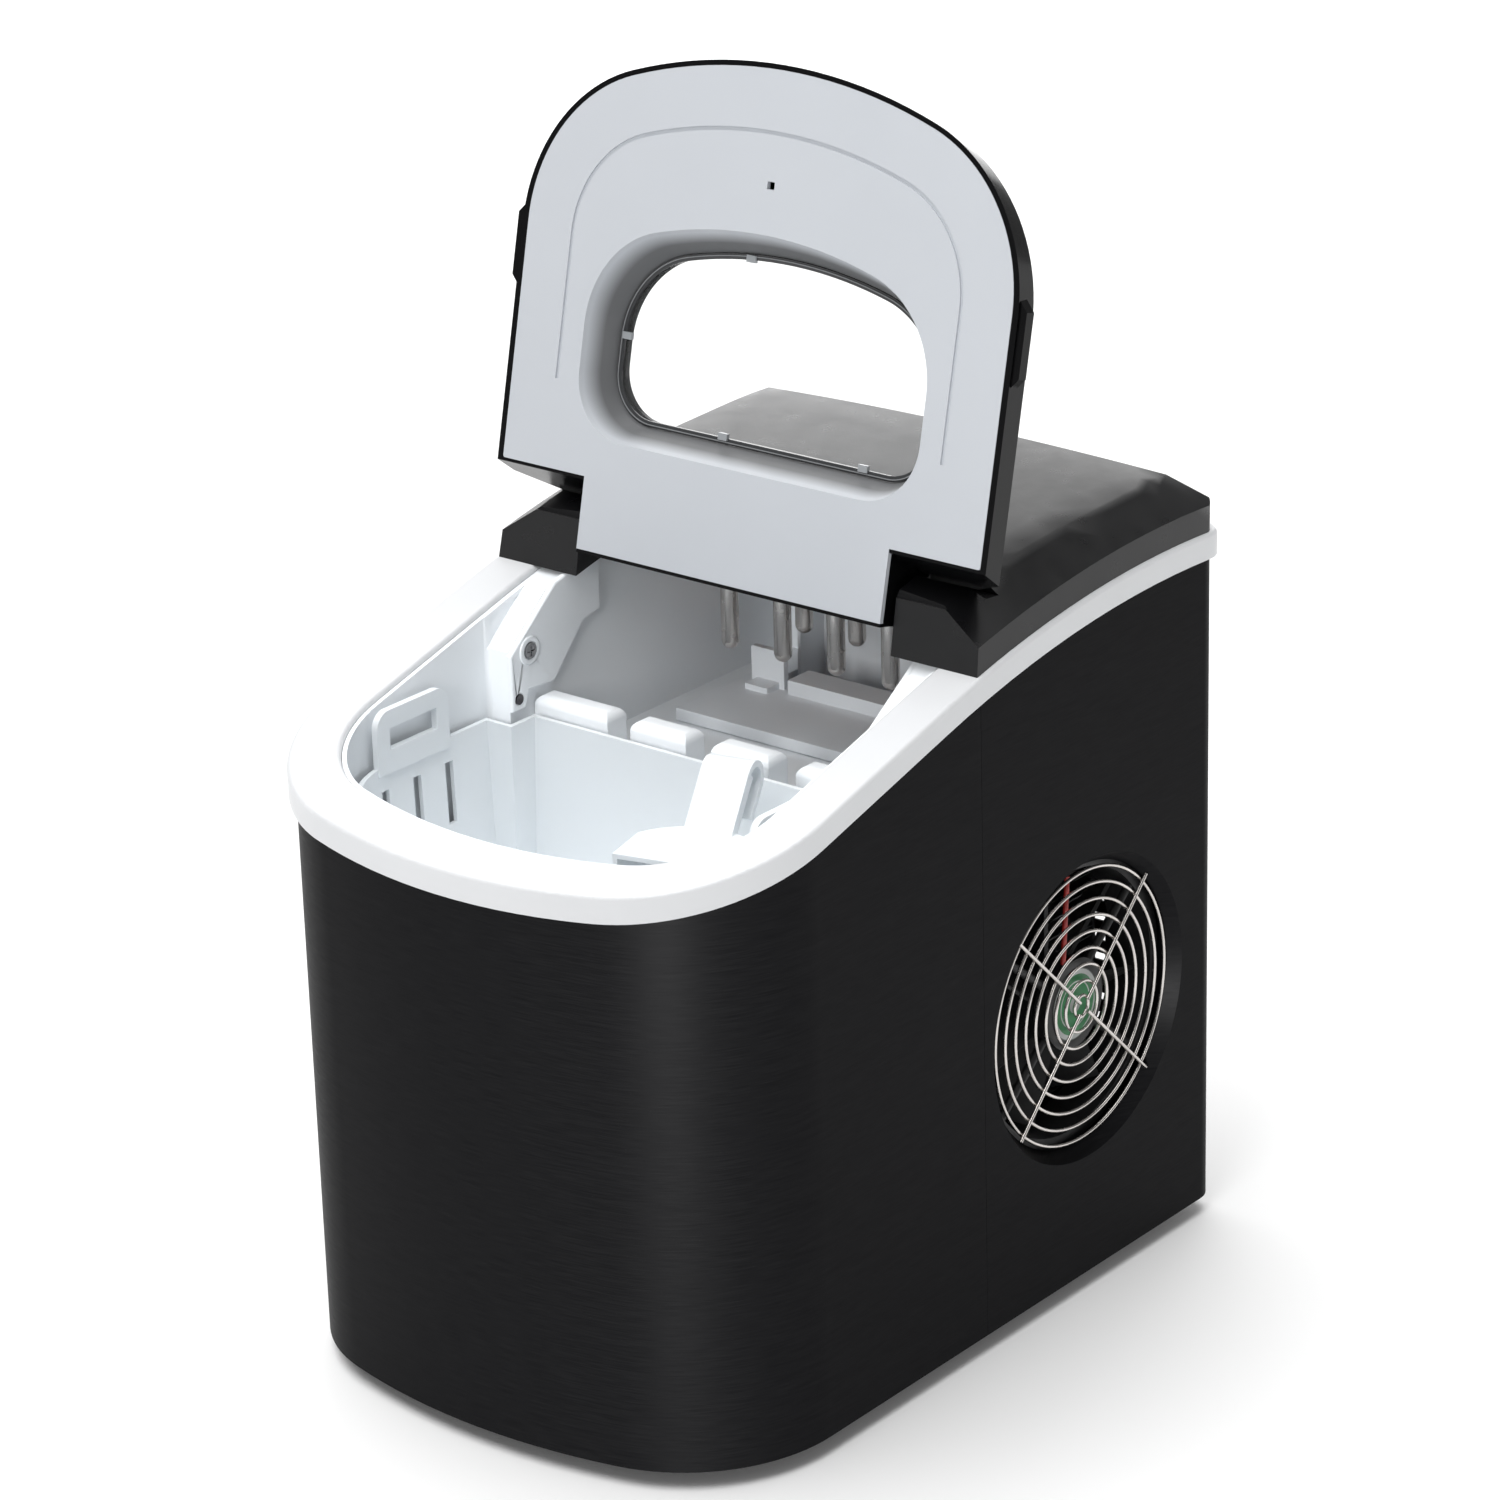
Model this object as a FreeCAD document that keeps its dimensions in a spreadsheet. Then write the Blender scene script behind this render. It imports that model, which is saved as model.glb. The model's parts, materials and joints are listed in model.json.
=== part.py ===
import FreeCAD, Part
import os, math, re
from FreeCAD import Vector as V, Placement, Rotation

os.makedirs("parts", exist_ok=True)
doc = FreeCAD.newDocument("IceMaker")

# ---------------------------------------------------------------- driving dimensions (mm, degrees)
sheet = doc.addObject("Spreadsheet::Sheet", "Dims")
ROWS = [
    ("body_half_width", 118.0), ("body_front", 167.4), ("body_rear", 167.4), ("corner_front_rad", 67.5),
    ("front_arc_rad", 269.7), ("corner_rear_rad", 12.0), ("body_bottom", 8.0), ("sheet_gauge", 1.0),
    ("seam_pos", 7.0), ("collar_overhang", 3.0), ("collar_height", 10.7), ("collar_inset", 18.0),
    ("rim_slope", 0.2694), ("rim_bend_start", -18.62), ("rim_bend_level", 271.04), ("rim_bend_rate", 0.00092),
    ("foot_rad", 9.0), ("foot_x", 84.0), ("foot_front_y", -112.0), ("foot_rear_y", 132.0), ("pan_wall", 2.0), ("pan_height", 22.0),
    ("deck_band", 10.6), ("deck_chamfer_w", 18.0), ("deck_chamfer_up", 11.6), ("deck_crown", 3.4), ("deck_wall", 2.6),
    ("hinge_y", 16.4), ("hinge_z", 306.1), ("hinge_pin_rad", 2.0), ("hinge_hole_rad", 2.05), ("lid_open_angle", 118.0),
    ("lid_len", 200.4), ("lid_half_width", 118.2), ("lid_rim_half_width", 121.0), ("lid_rim_len", 202.5),
    ("lid_corner_rad", 68.9), ("lid_arc_rad", 234.6), ("lid_step", 29.5), ("tongue_half_width", 75.6),
    ("lid_band", 10.4), ("lid_chamfer_w", 17.0), ("lid_chamfer_up", 10.6), ("lid_crown", 3.4), ("lid_wall", 2.2),
    ("plate_thick", 2.0), ("fan_y", 77.0), ("fan_z", 123.5), ("fan_dish_rad", 64.0), ("fan_hole_rad", 59.5),
    ("fan_wire", 0.75), ("fan_hub_rad", 19.0), ("fan_tip_rad", 54.0), ("liner_front_half", 98.0), ("liner_rear_half", 87.0),
    ("tank_floor", 112.0), ("rear_floor", 212.0), ("sump_floor", 190.0), ("liner_wall", 1.8),
    ("basket_half", 96.0), ("basket_floor", 150.0), ("basket_rim", 235.0), ("basket_wall", 2.0),
    ("finger_rad", 3.7), ("finger_bottom", 241.6), ("finger_len", 38.0), ("tray_pivot_y", 118.0), ("tray_pivot_z", 258.0),
    ("tray_angle", 88.0), ("tray_half", 64.0), ("tray_depth", 24.5), ("tray_reach", 58.0), ("tray_wall", 1.6),
    ("pusher_half", 70.0), ("pusher_len", 52.0), ("pusher_thick", 2.4), ("compressor_rad", 44.0), ("compressor_high", 118.0),
    ("screw_rad", 3.0), ("button_rad", 6.0), ("bezel_len", 30.0), ("bezel_half", 42.0), ("gland_rad", 7.0),
    ("plug_rad", 9.0), ("fin_gap", 4.0), ("board_thick", 1.6), ("pump_rad", 17.0), ("drier_rad", 9.0), ("label_rad", 15.0),
]
D = {}
for i, (alias, val) in enumerate(ROWS, start=1):
    sheet.set("A%d" % i, alias.replace("_", " "))
    sheet.set("B%d" % i, str(val))
    sheet.setAlias("B%d" % i, alias)
    D[alias] = val
doc.recompute()

NODES = {}
WORD = re.compile(r"[a-z][a-z_]+")


def bind(obj, prop, val):
    """Bind a property to the sheet: val is a number or a formula of sheet aliases."""
    if isinstance(val, str):
        obj.setExpression(prop, WORD.sub(lambda k: ("Dims." + k.group(0)) if k.group(0) in D else k.group(0), val))
    else:
        obj.setExpression(prop, repr(float(val)))


def at(obj, pos, rot=None):
    if rot is not None:
        obj.Placement = Placement(V(0, 0, 0), rot)
    for ax, val in zip("xyz", pos):
        bind(obj, ".Placement.Base." + ax, val)
    return obj


def box(name, size, pos, rot=None):
    o = doc.addObject("Part::Box", name)
    for prop, val in zip(("Length", "Width", "Height"), size):
        bind(o, prop, val)
    return at(o, pos, rot)


AX = {"x": Rotation(V(0, 1, 0), 90), "y": Rotation(V(1, 0, 0), -90), "z": Rotation()}


def cyl(name, rad, length, pos, axis="z"):
    o = doc.addObject("Part::Cylinder", name)
    bind(o, "Radius", rad)
    bind(o, "Height", length)
    return at(o, pos, AX[axis])


def join(name, objs):
    o = doc.addObject("Part::MultiFuse", name)
    o.Shapes = objs
    return o


def less(name, base, tool):
    o = doc.addObject("Part::Cut", name)
    o.Base = base
    o.Tool = tool
    return o


def node(obj, label):
    obj.Label = label
    NODES[label] = obj
    return obj


def feature(label, shape):
    o = doc.addObject("Part::Feature", "Solid_" + label)
    pl = shape.Placement
    o.Shape = shape
    o.Placement = pl
    return node(o, label)


def clean(sh):
    sh = sh.removeSplitter()
    sol = sh.Solids
    return sol[0] if len(sol) == 1 else Part.makeCompound(sol)


# ---------------------------------------------------------------- plan outline and curved rim line
def outline(half, front, rc, rf, rear, rr, z=0.0, shift=0.0):
    """Closed wire: straight rear with rounded corners, straight sides, two front corner arcs
    tangent to the sides and to one large front arc whose apex is at y = front."""
    cy = front + rf
    yc = cy - math.sqrt((rf - rc) ** 2 - (half - rc) ** 2)
    cx = half - rc
    k = rf / (rf - rc)
    tx, ty = cx * k, cy + (yc - cy) * k
    m = math.atan2(yc - cy, cx)
    m = (m + 0.0) / 2.0
    mx, my = cx + rc * math.cos(m), yc + rc * math.sin(m)
    q = rr * math.sqrt(0.5)

    def p(x, y):
        return V(x, y + shift, z)
    e = [Part.LineSegment(p(-half + rr, rear), p(half - rr, rear)).toShape(),
         Part.Arc(p(half - rr, rear), p(half - rr + q, rear - rr + q), p(half, rear - rr)).toShape(),
         Part.LineSegment(p(half, rear - rr), p(half, yc)).toShape(),
         Part.Arc(p(half, yc), p(mx, my), p(tx, ty)).toShape(),
         Part.Arc(p(tx, ty), p(0, front), p(-tx, ty)).toShape(),
         Part.Arc(p(-tx, ty), p(-mx, my), p(-half, yc)).toShape(),
         Part.LineSegment(p(-half, yc), p(-half, rear - rr)).toShape(),
         Part.Arc(p(-half, rear - rr), p(-half + rr - q, rear - rr + q), p(-half + rr, rear)).toShape()]
    return Part.Wire(e)


def body_plan(off, z0, z1, rear=None, rr=None):
    w = outline(D["body_half_width"] + off, -D["body_front"] - off, D["corner_front_rad"] + off,
                D["front_arc_rad"] + off, (D["body_rear"] + off) if rear is None else rear,
                max(2.0, D["corner_rear_rad"] + off) if rr is None else rr, z0)
    return Part.Face(w).extrude(V(0, 0, z1 - z0))


def rim(y):
    """Height of the collar's lower edge at depth y."""
    u = y - D["rim_bend_start"]
    z = D["rim_bend_level"] + D["rim_slope"] * u
    return z - D["rim_bend_rate"] * u * u if u > 0 else z


def under(up, y0=-200.0, y1=200.0, half=150.0, low=-20.0):
    """Solid below the rim line raised by up."""
    b, e = D["rim_bend_start"], y1
    ze = rim(e) + up
    mid = V(-half, (b + e) / 2, rim(b) + up + D["rim_slope"] * (e - b) / 2)
    bez = Part.BezierCurve()
    bez.setPoles([V(-half, b, rim(b) + up), mid, V(-half, e, ze)])
    w = Part.Wire([Part.LineSegment(V(-half, y0, low), V(-half, y0, rim(y0) + up)).toShape(),
                   Part.LineSegment(V(-half, y0, rim(y0) + up), V(-half, b, rim(b) + up)).toShape(),
                   bez.toShape(),
                   Part.LineSegment(V(-half, e, ze), V(-half, e, low)).toShape(),
                   Part.LineSegment(V(-half, e, low), V(-half, y0, low)).toShape()])
    return Part.Face(w).extrude(V(2 * half, 0, 0))


def bx(x0, x1, y0, y1, z0, z1):
    return Part.makeBox(x1 - x0, y1 - y0, z1 - z0, V(x0, y0, z0))


def rod(r, a, b):
    a, b = V(*a), V(*b)
    return Part.makeCylinder(r, (b - a).Length, a, b - a)


# ---------------------------------------------------------------- white collar
H = D["collar_height"]
ring = body_plan(D["collar_overhang"], 150, 330).cut(body_plan(-D["collar_inset"], 140, 340))
collar = ring.common(under(H)).cut(under(0.0))
collar = clean(collar)
try:
    top = [e for e in collar.Edges if e.CenterOfMass.z > rim(e.CenterOfMass.y) + H - 0.6 and e.Length > 8
           and (abs(e.CenterOfMass.x) > 60 or abs(e.CenterOfMass.y) > 120)]
    f = collar.makeFillet(2.0, top)
    if f.isValid() and f.Volume > 0.9 * collar.Volume:
        collar = f
except Exception:
    print("collar fillet left out")
feature("top_collar", collar)

# ---------------------------------------------------------------- outer panels
g = D["sheet_gauge"]
skin = body_plan(0, D["body_bottom"], 330).cut(body_plan(-g, 0, 340)).common(under(-0.02))
feature("front_wrap_panel", clean(skin.cut(bx(-150, 150, D["seam_pos"] - 0.12, 300, -10, 400))))
rear = skin.cut(bx(-150, 150, -300, D["seam_pos"] + 0.12, -10, 400))
fy, fz = D["fan_y"], D["fan_z"]
cone_o = Part.makeCone(D["fan_hole_rad"] + 1.2, D["fan_dish_rad"] + 1.2, 6.0, V(112, fy, fz), V(1, 0, 0))
cone_i = Part.makeCone(D["fan_hole_rad"], D["fan_dish_rad"], 6.0, V(112, fy, fz), V(1, 0, 0))
rear = rear.cut(Part.makeCylinder(D["fan_dish_rad"] + 0.6, 20, V(108, fy, fz), V(1, 0, 0)))
rear = rear.fuse(cone_o.cut(cone_i))
for k in range(13):                                     # exhaust louvres in the rear wall and left side
    rear = rear.cut(bx(-62, 62, 160, 172, 70 + 9 * k, 73.4 + 9 * k))
    rear = rear.cut(bx(-130, -110, 40, 130, 70 + 9 * k, 73.4 + 9 * k))
rear = rear.cut(Part.makeCylinder(D["gland_rad"] + 0.05, 20, V(-80, 155, 46), V(0, 1, 0)))
feature("rear_shell", clean(rear))

# ---------------------------------------------------------------- base pan with screw bosses
pan = body_plan(-g - 0.15, D["body_bottom"], D["body_bottom"] + D["pan_height"])
pan = pan.cut(body_plan(-g - 0.15 - D["pan_wall"], D["body_bottom"] + D["pan_wall"], 60))
for sx in (-1, 1):
    for fy_ in (D["foot_front_y"], D["foot_rear_y"]):
        pan = pan.cut(Part.makeCylinder(2.0, 10, V(sx * D["foot_x"], fy_, 5)))
pan = pan.cut(Part.makeCylinder(D["plug_rad"] - 3 + 0.05, 12, V(-125, -62, 20), V(1, 0, 0)))
feature("base_pan", clean(pan))


# ---------------------------------------------------------------- part-design helpers
def plane(body, role):
    return [f for f in body.Origin.OriginFeatures if f.Role == role][0]


def circle_body(label, circles, length, role="XY_Plane", pos=(0, 0, 0), rev=False):
    """Body padded from circles (x, y, radius formula) drawn on an origin plane."""
    import Sketcher
    b = doc.addObject("PartDesign::Body", "Body_" + label)
    s = b.newObject("Sketcher::SketchObject", "Sketch_" + label)
    s.AttachmentSupport = [(plane(b, role), "")]
    s.MapMode = "FlatFace"
    for i, (x, y, r) in enumerate(circles):
        s.addGeometry(Part.Circle(V(x, y, 0), V(0, 0, 1), 5.0 + 0.01 * i), False)
        s.addConstraint(Sketcher.Constraint("DistanceX", -1, 1, i, 3, float(x)) if x else Sketcher.Constraint("PointOnObject", i, 3, -2))
        s.addConstraint(Sketcher.Constraint("DistanceY", -1, 1, i, 3, float(y)) if y else Sketcher.Constraint("PointOnObject", i, 3, -1))
        n = s.addConstraint(Sketcher.Constraint("Radius", i, 5.0 + 0.01 * i))
        bind(s, "Constraints[%d]" % n, r)
    p = b.newObject("PartDesign::Pad", "Pad_" + label)
    p.Profile = s
    bind(p, "Length", length)
    p.Reversed = rev
    b.Placement = Placement(V(*pos), Rotation())
    return b, s, p


def turned(label, pts, pos=(0, 0, 0), rot=None):
    """Body revolved about its own Z from (r, z) points drawn on the XZ plane."""
    b = doc.addObject("PartDesign::Body", "Body_" + label)
    s = b.newObject("Sketcher::SketchObject", "Sketch_" + label)
    s.AttachmentSupport = [(plane(b, "XZ_Plane"), "")]
    s.MapMode = "FlatFace"
    n = len(pts)
    for i in range(n):
        a, c = pts[i], pts[(i + 1) % n]
        s.addGeometry(Part.LineSegment(V(a[0], a[1], 0), V(c[0], c[1], 0)), False)
    r = b.newObject("PartDesign::Revolution", "Revolve_" + label)
    r.Profile = s
    r.ReferenceAxis = (s, ["V_Axis"])
    r.Angle = 360.0
    b.Placement = Placement(V(*pos), rot or Rotation())
    return node(b, label)


b, s, p = circle_body("rubber_feet", [(sx * D["foot_x"], fy_, "foot_rad") for sx in (-1, 1) for fy_ in (D["foot_front_y"], D["foot_rear_y"])], "body_bottom")
node(b, "rubber_feet")

# ---------------------------------------------------------------- rear deck cover with hinge horns
def deck_section(y, inset=0.0, drop=0.0, low=None):
    """Cross-section wire in the plane of constant y."""
    zt = rim(y) + H
    zb = zt if low is None else low
    flat = 2.0 * max(0.0, min(1.0, (y - 40) / 60.0)) - 0.9 * max(0.0, min(1.0, (y - 110) / 50.0))
    a = 119.8 - inset
    b_ = 118.6 - inset
    c = 100.5 - inset * 0.8
    z1 = zt + D["deck_band"] - drop * 0.45
    z2 = zt + D["deck_band"] + D["deck_chamfer_up"] - flat - drop
    zc = z2 + D["deck_crown"]

    def p(x, z):
        return V(x, y, z)
    e = [Part.LineSegment(p(-a, zb), p(-b_, z1)).toShape(), Part.LineSegment(p(-b_, z1), p(-c, z2)).toShape(),
         Part.Arc(p(-c, z2), p(0, zc), p(c, z2)).toShape(), Part.LineSegment(p(c, z2), p(b_, z1)).toShape(),
         Part.LineSegment(p(b_, z1), p(a, zb)).toShape(), Part.LineSegment(p(a, zb), p(-a, zb)).toShape()]
    return Part.Wire(e)


YS = [-2, 20, 45, 70, 95, 120, 145, 172]
deck = Part.makeLoft([deck_section(y, low=rim(y) + H - 6) for y in YS], True, False)
deck = deck.common(body_plan(D["collar_overhang"] - 1.2, 200, 360, rear=165.6, rr=13))
deck = deck.cut(under(H + 0.02))
tl = math.tan(math.radians(10.5))
hf = Part.Face(Part.makePolygon([V(-150, 3.05 - 20 * tl, 267.2), V(-150, 3.05 + 60 * tl, 347.2), V(-150, -40, 347.2), V(-150, -40, 267.2), V(-150, 3.05 - 20 * tl, 267.2)])).extrude(V(300, 0, 0))
deck = deck.cut(hf)                                    # front of the horns leans back
zr = rim(160) + H + D["deck_band"]
wedge = Part.Face(Part.makePolygon([V(-150, 166.5, zr - 3.0), V(-150, 151, zr + 14.0), V(-150, 200, zr + 40), V(-150, 200, zr - 3), V(-150, 166.5, zr - 3.0)])).extrude(V(300, 0, 0))
deck = deck.cut(wedge)                                 # sloping rear edge
w = D["deck_wall"]
cav = Part.makeLoft([deck_section(y, inset=w, drop=w, low=rim(y) + H - 7) for y in YS], True, False)
cav = cav.common(bx(-150, 150, 33.6, 149.5, 200, 360))
deck = deck.cut(cav)
hb = 78.5
deck = deck.cut(bx(-hb, hb, -20, 36, 250, 306.0)).cut(bx(-hb, hb, -20, 31, 250, 360))
deck = deck.cut(bx(-99.5, 99.5, 26, 60, 250, 306.0))
hy, hz = D["hinge_y"], D["hinge_z"]
relief = bx(-150, 150, 0, 31.0, 309.5, 360).cut(Part.makeCylinder(9.2, 300, V(-150, hy, hz), V(1, 0, 0)))
deck = deck.cut(relief)
deck = deck.cut(Part.makeCylinder(D["hinge_hole_rad"], 192, V(-96, hy, hz), V(1, 0, 0)))
feature("rear_deck_cover", clean(deck))

# ---------------------------------------------------------------- lid, drawn in its own plate frame
# local x across, local y = -(distance from the tongue end), local z = out of the lid's top
SL = math.atan(D["rim_slope"])
TS = math.tan(SL)
TILT = Rotation(V(1, 0, 0), math.degrees(SL))
pt = D["plate_thick"]
ty, tn = -10.7, 14.1                                   # hinge axis in the plate frame
CLOSED = Placement(V(0, hy, hz) - TILT.multVec(V(0, ty, tn)), TILT)
SWING = Placement(V(0, hy, hz), Rotation(V(1, 0, 0), -D["lid_open_angle"])).multiply(Placement(V(0, -hy, -hz), Rotation()))
LID = SWING.multiply(CLOSED)


def lid_place(sh):
    sh = Part.makeCompound(sh.Solids) if len(sh.Solids) > 1 else sh.Solids[0].copy()
    sh.Placement = LID
    return sh


def lid_out(off, z, rear=30.0, rr=2.0, dy=0.0):
    return outline(D["lid_rim_half_width"] + off, -D["lid_rim_len"] - off - dy, D["lid_corner_rad"] + off,
                   D["lid_arc_rad"] + off, rear, rr, z, shift=TS * z)


def lid_solid(off, up, dy=0.0):
    b0, c0 = D["lid_band"] - up * 0.45, D["lid_band"] + D["lid_chamfer_up"] - up
    lower = Part.makeLoft([lid_out(off, 0.0, dy=dy), lid_out(off - 0.5, b0, dy=dy), lid_out(off - D["lid_chamfer_w"] + up * 0.3, c0, dy=dy)], True, True)
    cap = Part.Face(lid_out(off - D["lid_chamfer_w"] + up * 0.3, c0, dy=dy)).extrude(V(0, TS * 8, 8))
    half = D["lid_rim_half_width"] - D["lid_chamfer_w"]
    R = (half * half + D["lid_crown"] ** 2) / (2 * D["lid_crown"])
    cap = cap.common(Part.makeCylinder(R, 600, V(0, -400, c0 + D["lid_crown"] - R), V(0, 1, 0)))
    return lower.fuse(cap)


TL = math.tan(SL + math.radians(10.5))
endcut = Part.Face(Part.makePolygon([V(-150, -D["lid_step"] + 0.5 - 5 * TL, -5), V(-150, -D["lid_step"] + 0.5 + 40 * TL, 40), V(-150, 120, 40), V(-150, 120, -5), V(-150, -D["lid_step"] + 0.5 - 5 * TL, -5)])).extrude(V(300, 0, 0))
shell = lid_solid(0, 0).cut(endcut)
wl = D["lid_wall"]
endcut_in = endcut.copy()
endcut_in.translate(V(0, -1.2, 0))
cavity = lid_solid(-wl - 0.45, wl, 0.7).fuse(Part.Face(lid_out(-wl - 0.45, -1.0, dy=0.7)).extrude(V(0, TS * 3, 3))).cut(endcut_in)


def tongue_profile(half, r, back, foot, top):
    pr = Part.Face(Part.makePolygon([V(-half, -60, foot), V(-half, back, foot), V(-half, back, 8.0), V(-half, ty, tn), V(-half, ty, tn + r), V(-half, -60, top), V(-half, -60, foot)])).extrude(V(2 * half, 0, 0))
    return pr.fuse(Part.makeCylinder(r, 2 * half, V(-half, ty, tn), V(1, 0, 0)))


TH = D["tongue_half_width"]
tongue = tongue_profile(TH, 12.2, 0.0, 0.0, 21.6).common(bx(-TH, TH, -48, 60, 0, 60))
tongue_in = tongue_profile(TH - 2.4, 9.9, -2.2, -2.0, 19.4).common(bx(-TH, TH, -60, 60, -5, 60))
shell = shell.cut(bx(-TH - 0.3, TH + 0.3, -29.7, 60, -5, 2.1)).fuse(tongue).cut(cavity).cut(tongue_in)
shell = shell.cut(bx(-TH - 0.3, TH + 0.3, -45, -1.3, -5, pt + 0.05))
for sx in (-1, 1):
    boss = rod(5.0, (sx * 62, ty, tn), (sx * (TH - 1), ty, tn)).cut(rod(D["hinge_pin_rad"], (sx * 60, ty, tn), (sx * TH, ty, tn)))
    shell = shell.cut(rod(D["hinge_pin_rad"], (sx * 60, ty, tn), (sx * 80, ty, tn))).fuse(boss)
    grip = Part.Face(Part.makePolygon([V(sx * 119.6, -133, 0.8), V(sx * 124.2, -128, 0.8), V(sx * 124.2, -103, 0.8), V(sx * 119.6, -98, 0.8), V(sx * 119.6, -133, 0.8)])).extrude(V(0, 0, 4.6))
    shell = shell.fuse(grip)
WIN_TOP = outline(77, -126.4, 38, 210, -53.6, 20, 10, shift=0)
shell = shell.cut(Part.Face(WIN_TOP).extrude(V(0, 0, 30)))
BZ = (-D["bezel_half"], D["bezel_half"], -172.5, -172.5 + D["bezel_len"])
shell = shell.cut(bx(BZ[0] - 0.05, BZ[1] + 0.05, BZ[2] - 0.05, BZ[3] + 0.05, 10, 40))
feature("lid_shell", lid_place(clean(shell)))

pt = D["plate_thick"]
plate = Part.Face(outline(D["lid_half_width"], -D["lid_len"], D["lid_corner_rad"] - 2.8, D["lid_arc_rad"] - 2.1, -D["lid_step"] - 0.85, 1.0, 0)).extrude(V(0, TS * pt, pt)).cut(bx(-130, 130, -D["lid_step"] - 0.85, 5, -1, 5))
plate = plate.fuse(bx(-TH, TH, -D["lid_step"] - 5, -1.4, 0, pt))
win_in = Part.makeLoft([outline(84, -137.5, 42, 200, -46, 25, 0), outline(79, -128.2, 39, 205, -52.0, 21, 17.8)], True, True)
win_out = Part.makeLoft([outline(85.8, -139.3, 43.8, 201.8, -44.2, 26.8, 0), outline(80.8, -130.0, 40.8, 206.8, -50.2, 22.8, 17.8)], True, True)
plate = plate.fuse(win_out).cut(win_in)
groove = Part.Face(outline(95.8, -177.3, 45.8, 215.8, -40, 5, -0.1)).extrude(V(0, 0, 0.9)).cut(Part.Face(outline(94.2, -175.7, 44.2, 214.2, -40, 5, -1)).extrude(V(0, 0, 3))).cut(bx(-120, 120, -66, 0, -2, 3))
plate = plate.cut(groove).cut(bx(-1.75, 1.75, -158, -155, -1, 5))
feature("lid_liner", lid_place(clean(plate)))
pane = Part.Face(outline(79.6, -129.0, 39.6, 206, -51.2, 21, 17.9)).extrude(V(0, 0, 1.8))
feature("lid_window", lid_place(clean(pane)))
clips = [bx(x - 2.2, x + 2.2, y - 1.4, y + 1.4, 16.1, 17.8) for x, y in ((-79.2 + 4.2, -86), (-18, -125.4), (-22, -55.0), (47, -55.0))]
feature("window_clips", lid_place(Part.makeCompound(clips)))
pins = [rod(D["hinge_pin_rad"], (sx * 62, ty, tn), (sx * 95, ty, tn)) for sx in (-1, 1)]
feature("hinge_pins", lid_place(Part.makeCompound(pins)))
lz = 20.6
bez = bx(BZ[0], BZ[1], BZ[2], BZ[3], lz, lz + 4.2)
by_ = (BZ[2] + BZ[3]) / 2
bez = bez.cut(Part.makeCylinder(D["button_rad"] + 0.3, 20, V(-26, by_, 10))).cut(Part.makeCylinder(D["button_rad"] + 0.3, 20, V(26, by_, 10)))
for k in range(5):
    bez = bez.cut(Part.makeCylinder(1.6, 20, V(-12 + 6 * k, by_, 10)))
feature("control_bezel", lid_place(clean(bez)))
feature("indicator_lights", lid_place(Part.makeCompound([Part.makeCylinder(1.55, 5.6, V(-12 + 6 * k, by_, lz - 1.2)) for k in range(5)])))
board = bx(BZ[0] + 3, BZ[1] - 3, BZ[2] + 2, BZ[3] - 2, lz - 4.4 - D["board_thick"], lz - 4.4)
feature("control_board", lid_place(board))
for lab, cx in (("power_button", -26.0), ("select_button", 26.0)):
    c, s, p = circle_body(lab, [(0, 0, "button_rad")], 6.4)
    c.Placement = LID.multiply(Placement(V(cx, by_, lz - 0.9), Rotation()))
    node(c, lab)
feature("bezel_supports", lid_place(Part.makeCompound([rod(1.8, (sx * 38, by_ + sy * 12, lz - 4.4), (sx * 38, by_ + sy * 12, lz)) for sx in (-1, 1) for sy in (-1, 1)])))

# ---------------------------------------------------------------- white inner liner and tank
lw = D["liner_wall"]
fo, ro = D["liner_front_half"] - D["body_half_width"], D["liner_rear_half"]
outer = body_plan(fo + lw, D["tank_floor"] - lw, 330, rear=-28.2, rr=2).fuse(bx(-ro - lw, ro + lw, -60, 147, D["rear_floor"] - lw, 330)).fuse(bx(-ro - lw, ro + lw, -60, -16.2, D["tank_floor"] - lw, 330)).fuse(bx(-68, 68, 71.2, 147, D["sump_floor"] - lw, 300))
inner = body_plan(fo, D["tank_floor"], 340, rear=-30, rr=2).fuse(bx(-ro, ro, -60, -18, D["tank_floor"], 340)).fuse(bx(-ro, ro, -30, 145.2, D["rear_floor"], 340)).fuse(bx(-66.2, 66.2, 73.0, 145.2, D["sump_floor"], 340))
liner = outer.cut(inner).common(under(H - 2.5))
ledge = bx(-99.8, 99.8, -30, 147, 200, 330).cut(bx(-ro - 0.2, ro + 0.2, -31, 150, 190, 340)).common(under(H - 2.5)).cut(under(H - 4.5))
liner = liner.fuse(ledge)
liner = liner.cut(bx(-200, 200, 3, 200, 306, 400))
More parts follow.
